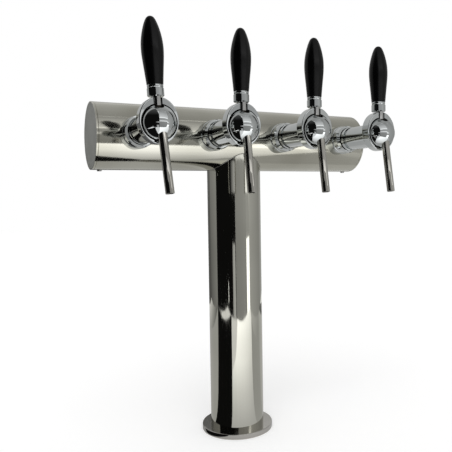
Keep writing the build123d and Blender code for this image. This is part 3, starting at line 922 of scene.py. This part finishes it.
def upright(name: str, start: Place, end: Place, heights: tuple[float, float], glow: tuple[float, ...],
            tint: Colour = WHITE) -> Card:
    """Makes an upright card over a line on the floor.

    Args:
        name: Name of the card.
        start: Where the line starts.
        end: Where it ends.
        heights: Heights of the card's lower and upper edges.
        glow: Brightness at the start and at the end, or at all four corners from the lower start.
        tint: Its colour.

    Returns:
        The card.
    """
    low, high = heights
    corners = ((*start, low), (*end, low), (*end, high), (*start, high))
    if len(glow) < len(corners):
        glow = (*glow, *reversed(glow))
    return Card(name, corners, glow, tint)


def lying(name: str, places: tuple[Place, Place, Place, Place], height: float,
          glow: tuple[float, float, float, float], tint: Colour = WHITE) -> Card:
    """Makes a card that lies level.

    Args:
        name: Name of the card.
        places: Its four corners seen from above, in order round it.
        height: Height over the counter.
        glow: Brightness at each corner.
        tint: Its colour.

    Returns:
        The card.
    """
    return Card(name, tuple((*place, height) for place in places), glow, tint)


BLACK = 0.006
WARM_GREY: Colour = (1.0, 1.0, 0.985)
FLOOR_CARD = 0.0010
FAN_CARD = 0.0012
TOP_CARD = 0.0014

# Floor cards lie one over another at three heights. Those named black, grey_left, pale_back and
# grey_right fan out from the column's foot, so that the column shows them as upright bands.
CARDS = (
    upright("flag_front", (-0.308, -0.868), (-0.95, -0.60), (0.0, 1.20), (BLACK, BLACK)),
    upright("flag_side", (-0.95, -0.60), (-1.10, 0.30), (0.0, 1.20), (BLACK, BLACK)),
    lying("flag_top", ((-0.308, -0.868), (-0.95, -0.60), (-1.10, 0.30), (-0.30, -0.10)), 1.20,
          (0.02, BLACK, 0.02, 0.10)),
    upright("pale_line", (-0.345, -0.845), (-0.505, -0.780), (0.0, 0.24), (0.62, 0.45)),
    upright("pale_line_top", (-0.560, -0.750), (-0.312, -0.860), (0.40, 0.50), (0.05, 0.60)),
    upright("bright_line_top", (0.415, -0.888), (0.640, -0.845), (0.40, 0.505), (1.5, 1.1)),
    upright("small_lamp", (-0.80, -0.650), (-0.83, -0.638), (0.03, 0.10), (1.6, 1.6)),
    upright("grey_wall", (-0.308, -0.875), (0.434, -0.893), (0.0, 0.505), (0.30, 0.36, 0.44, 0.34),
            WARM_GREY),
    upright("bright_wall", (-0.308, -0.875), (0.50, -0.893), (0.505, 0.61), (1.15, 1.45, 0.95, 0.75)),
    upright("grey_band", (-0.308, -0.875), (0.50, -0.893), (0.61, 0.79), (0.42, 0.50, 0.55, 0.50)),
    Card("bright_strip",
         ((-0.308, -0.875, 0.79), (0.50, -0.893, 0.79), (0.48, -0.86, 0.86), (-0.308, -0.85, 0.86)),
         (1.4, 1.4, 1.4, 1.4)),
    Card("soft_panel",
         ((-0.308, -0.85, 0.86), (0.48, -0.86, 0.86), (0.28, -0.45, 1.25), (-0.24, -0.40, 1.22)),
         (0.95, 0.90, 0.38, 0.38)),
    upright("side_wall", (0.434, -0.897), (0.72, -0.842), (0.0, 0.70), (0.46, 0.46), WARM_GREY),
    upright("white_panel", (0.434, -0.893), (0.690, -0.835), (0.0, 0.25), (2.3, 2.3)),
    Card("upper_right",
         ((0.50, -0.893, 0.62), (0.757, -0.820, 0.24), (0.60, -0.35, 1.30), (0.28, -0.45, 1.25)),
         (0.60, 0.60, 0.35, 0.35), WARM_GREY),
    upright("right_wall", (0.690, -0.835), (1.05, 0.30), (0.0, 1.30), (0.52, 0.32), WARM_GREY),
    upright("left_back_wall", (-1.10, 0.30), (-0.60, 1.10), (0.0, 1.45), (0.30, 0.12, 0.56, 0.50), WARM_GREY),
    upright("back_wall_left", (-0.60, 1.10), (0.47, 1.10), (0.0, 0.55), (0.10, 0.10, 0.16, 0.16), WARM_GREY),
    upright("back_wall_right", (0.47, 1.10), (1.05, 0.90), (0.0, 0.55), (0.50, 0.50), WARM_GREY),
    upright("back_wall_top", (-0.60, 1.10), (1.05, 0.90), (0.55, 1.45), (0.45, 0.50, 0.62, 0.62), WARM_GREY),
    upright("right_back_wall", (1.05, 0.30), (1.05, 0.90), (0.0, 1.45), (0.40, 0.46), WARM_GREY),
    Card("ceiling", ((-1.2, -0.42, 1.26), (1.2, -0.42, 1.26), (1.2, 1.1, 1.60), (-1.2, 1.1, 1.60)),
         (0.36, 0.40, 0.66, 0.60), WARM_GREY),
    lying("floor_white", ((-0.27, -0.90), (0.72, -0.90), (0.60, -0.42), (-0.22, -0.45)), FLOOR_CARD,
          (2.1, 1.6, 1.0, 1.7)),
    lying("floor_near", ((-0.22, -0.45), (0.60, -0.42), (0.60, -0.06), (-0.30, -0.06)), FLOOR_CARD,
          (1.7, 1.0, 0.35, 0.70)),
    # Painted shade: the two cards below, under and behind the tower, glow dimly to stand in for its shadow on
    # the floor as reflections see it.
    lying("floor_under_shade", ((-1.10, -0.06), (1.05, -0.06), (1.05, 0.06), (-1.10, 0.06)), FLOOR_CARD,
          (0.70, 0.45, 0.20, 0.25)),
    lying("floor_shade", ((-1.10, 0.06), (1.05, 0.06), (1.05, 0.40), (-1.10, 0.40)), FLOOR_CARD,
          (0.25, 0.14, 0.10, 0.20)),
    lying("floor_back", ((-1.10, 0.40), (1.05, 0.40), (0.60, 1.10), (-0.70, 1.10)), FLOOR_CARD,
          (0.20, 0.20, 0.80, 0.80), WARM_GREY),
    lying("floor_black", ((-0.0468, -0.0520), (-0.669, -0.743), (-1.10, 0.30), (-0.0673, 0.0193)), TOP_CARD,
          (BLACK, BLACK, BLACK, BLACK)),
    lying("floor_grey_left", ((-0.0673, 0.0193), (-1.06, 0.30), (0.376, 1.03), (0.024, 0.066)), FAN_CARD,
          (0.50, 0.50, 0.50, 0.50), WARM_GREY),
    lying("floor_pale_back", ((0.0697, 0.0061), (1.046, 0.0915), (0.376, 1.03), (0.024, 0.066)), FAN_CARD,
          (0.55, 0.60, 0.60, 0.55), WARM_GREY),
    lying("floor_grey_right", ((0.0495, -0.0495), (0.636, -0.636), (1.046, 0.0915), (0.0697, 0.0061)),
          FAN_CARD, (0.45, 0.50, 0.50, 0.45), WARM_GREY),
    lying("floor_right", ((0.60, -0.06), (0.60, -0.45), (0.70, -0.85), (1.08, -0.06)), TOP_CARD,
          (0.45, 0.60, 0.70, 0.45), WARM_GREY),
)


@dataclass
class Studio:
    """Floor, light, cards and camera.

    Attributes:
        floor_half: Half of the floor's width.
        floor_colour: Its grey, linear.
        floor_lift: Its own light where the camera or a reflection sees it.
        world_strength: Strength of the soft light from all round.
        lamp_energy: Strength of the lamp.
        lamp_angle: Its apparent size in degrees, which makes its shadow soft.
        lamp_place: Where it hangs.
        lamp_goal: What it looks at.
        lens: Focal length of the camera in millimetres.
        sensor: Width of its sensor in millimetres.
        shift: Its shift across and up, as shares of the picture's width.
        eye: Where it stands.
        yaw: Its turn from +Y towards +X, in degrees.
        pitch: Its tilt upwards, in degrees.
        roll: Its roll, in degrees.
    """

    floor_half: float = 6.0
    floor_colour: float = 0.86
    floor_lift: float = 0.30
    world_strength: float = 0.62
    lamp_energy: float = 0.9
    lamp_angle: float = 50.0
    lamp_place: Point = (-0.7, -1.2, 2.2)
    lamp_goal: Point = (0.0, 0.0, 0.3)
    lens: float = 45.28
    sensor: float = 36.0
    shift: tuple[float, float] = (-0.0973, -0.0265)
    eye: Point = (-0.38932, -0.87796, 0.39409)
    yaw: float = 27.51
    pitch: float = -2.01
    roll: float = -0.76

    def build_floor(self) -> None:
        """Lays the pale floor, which keeps the object's shadow."""
        half = self.floor_half
        corners = np.array([(-half, -half, 0.0), (half, -half, 0.0), (half, half, 0.0), (-half, half, 0.0)])
        floor = mesh_object("floor", corners, np.array([[0, 1, 2, 3]]), smooth=False)
        material, sheet = new_material("pale_floor")
        path = sheet.add("LightPath")
        seen = sheet.add("Math", operation="MAXIMUM")
        lit = sheet.add("Math", operation="MULTIPLY")
        lit.inputs[1].default_value = self.floor_lift
        matte = sheet.add("BsdfDiffuse", {"Color": (*(self.floor_colour,) * 3, 1.0)})
        lift = sheet.add("Emission", {"Color": (*WHITE, 1.0)})
        total = sheet.add("AddShader")
        sheet.join(path.outputs["Is Camera Ray"], seen.inputs[0])
        sheet.join(path.outputs["Is Glossy Ray"], seen.inputs[1])
        sheet.join(seen.outputs["Value"], lit.inputs[0])
        sheet.join(lit.outputs["Value"], lift.inputs["Strength"])
        sheet.join(matte.outputs["BSDF"], total.inputs[0])
        sheet.join(lift.outputs["Emission"], total.inputs[1])
        sheet.join(total.outputs["Shader"], sheet.output.inputs["Surface"])
        floor.data.materials.append(material)

    def build_world(self) -> None:
        """Sets a soft even light, and white where the camera and reflections see past everything."""
        world = bpy.data.worlds.new("studio_world")
        world.use_nodes = True
        bpy.context.scene.world = world
        sheet = NodeSheet(world.node_tree, "OutputWorld")
        path = sheet.add("LightPath")
        first = sheet.add("Math", operation="MAXIMUM")
        second = sheet.add("Math", operation="MAXIMUM")
        soft = sheet.add("Background", {"Color": (*WHITE, 1.0), "Strength": self.world_strength})
        white = sheet.add("Background", {"Color": (*WHITE, 1.0), "Strength": 1.0})
        mix = sheet.add("MixShader")
        sheet.join(path.outputs["Is Camera Ray"], first.inputs[0])
        sheet.join(path.outputs["Is Glossy Ray"], first.inputs[1])
        sheet.join(first.outputs["Value"], second.inputs[0])
        sheet.join(path.outputs["Is Transmission Ray"], second.inputs[1])
        sheet.join(second.outputs["Value"], mix.inputs["Fac"])
        sheet.join(soft.outputs["Background"], mix.inputs[1])
        sheet.join(white.outputs["Background"], mix.inputs[2])
        sheet.join(mix.outputs["Shader"], sheet.output.inputs["Surface"])

    def build_lamp(self) -> None:
        """Hangs one soft lamp far off over the front left, so that the floor is lit evenly."""
        lamp = bpy.data.lights.new("soft_lamp", "SUN")
        lamp.angle = math.radians(self.lamp_angle)
        lamp.energy = self.lamp_energy
        holder = bpy.data.objects.new("soft_lamp", lamp)
        bpy.context.scene.collection.objects.link(holder)
        holder.matrix_world = self.aim(self.lamp_place, self.lamp_goal)
        holder.visible_glossy = False

    def aim(self, start: Point, goal: Point) -> Matrix:
        """Works out the place and turn that look from one point at another.

        Args:
            start: Where it stands.
            goal: What it looks at.

        Returns:
            The matrix, whose -Z axis points at the goal.
        """
        back = np.array(start) - np.array(goal)
        back /= np.linalg.norm(back)
        right = np.cross((0.0, 0.0, 1.0), back)
        right /= np.linalg.norm(right)
        up = np.cross(back, right)
        rows = np.column_stack([right, up, back, start])
        return Matrix([*map(tuple, rows), (0.0, 0.0, 0.0, 1.0)])

    def build_camera(self) -> None:
        """Stands the camera at its eye, with its yaw, pitch and roll in degrees."""
        yaw, pitch, roll = (math.radians(angle) for angle in (self.yaw, self.pitch, self.roll))
        level_share = math.cos(pitch)
        forward = np.array((math.sin(yaw) * level_share, math.cos(yaw) * level_share, math.sin(pitch)))
        level = np.array((math.cos(yaw), -math.sin(yaw), 0.0))
        plumb = np.cross(level, forward)
        right = math.cos(roll) * level + math.sin(roll) * plumb
        up = -math.sin(roll) * level + math.cos(roll) * plumb
        rows = np.column_stack([right, up, -forward, self.eye])
        camera = bpy.data.cameras.new("camera")
        camera.lens = self.lens
        camera.sensor_width = self.sensor
        camera.shift_x, camera.shift_y = self.shift
        holder = bpy.data.objects.new("camera", camera)
        bpy.context.scene.collection.objects.link(holder)
        holder.matrix_world = Matrix([*map(tuple, rows), (0.0, 0.0, 0.0, 1.0)])
        bpy.context.scene.camera = holder

    def build(self) -> None:
        """Builds the whole studio."""
        self.build_floor()
        self.build_world()
        self.build_lamp()
        for card in CARDS:
            card.build()
        self.build_camera()
        bpy.context.scene.view_settings.view_transform = "Standard"
        LOG.info("studio: floor, lamp, %d cards and camera", len(CARDS))


# ---- Making ----------------------------------------------------------------------------------


def main() -> None:
    """Builds every part of the scene in order."""
    logging.basicConfig(level=logging.INFO, format="%(name)s %(message)s")
    Studio().build()
    Tower().build()
    TapSet().build()


if __name__ == "__main__":
    main()
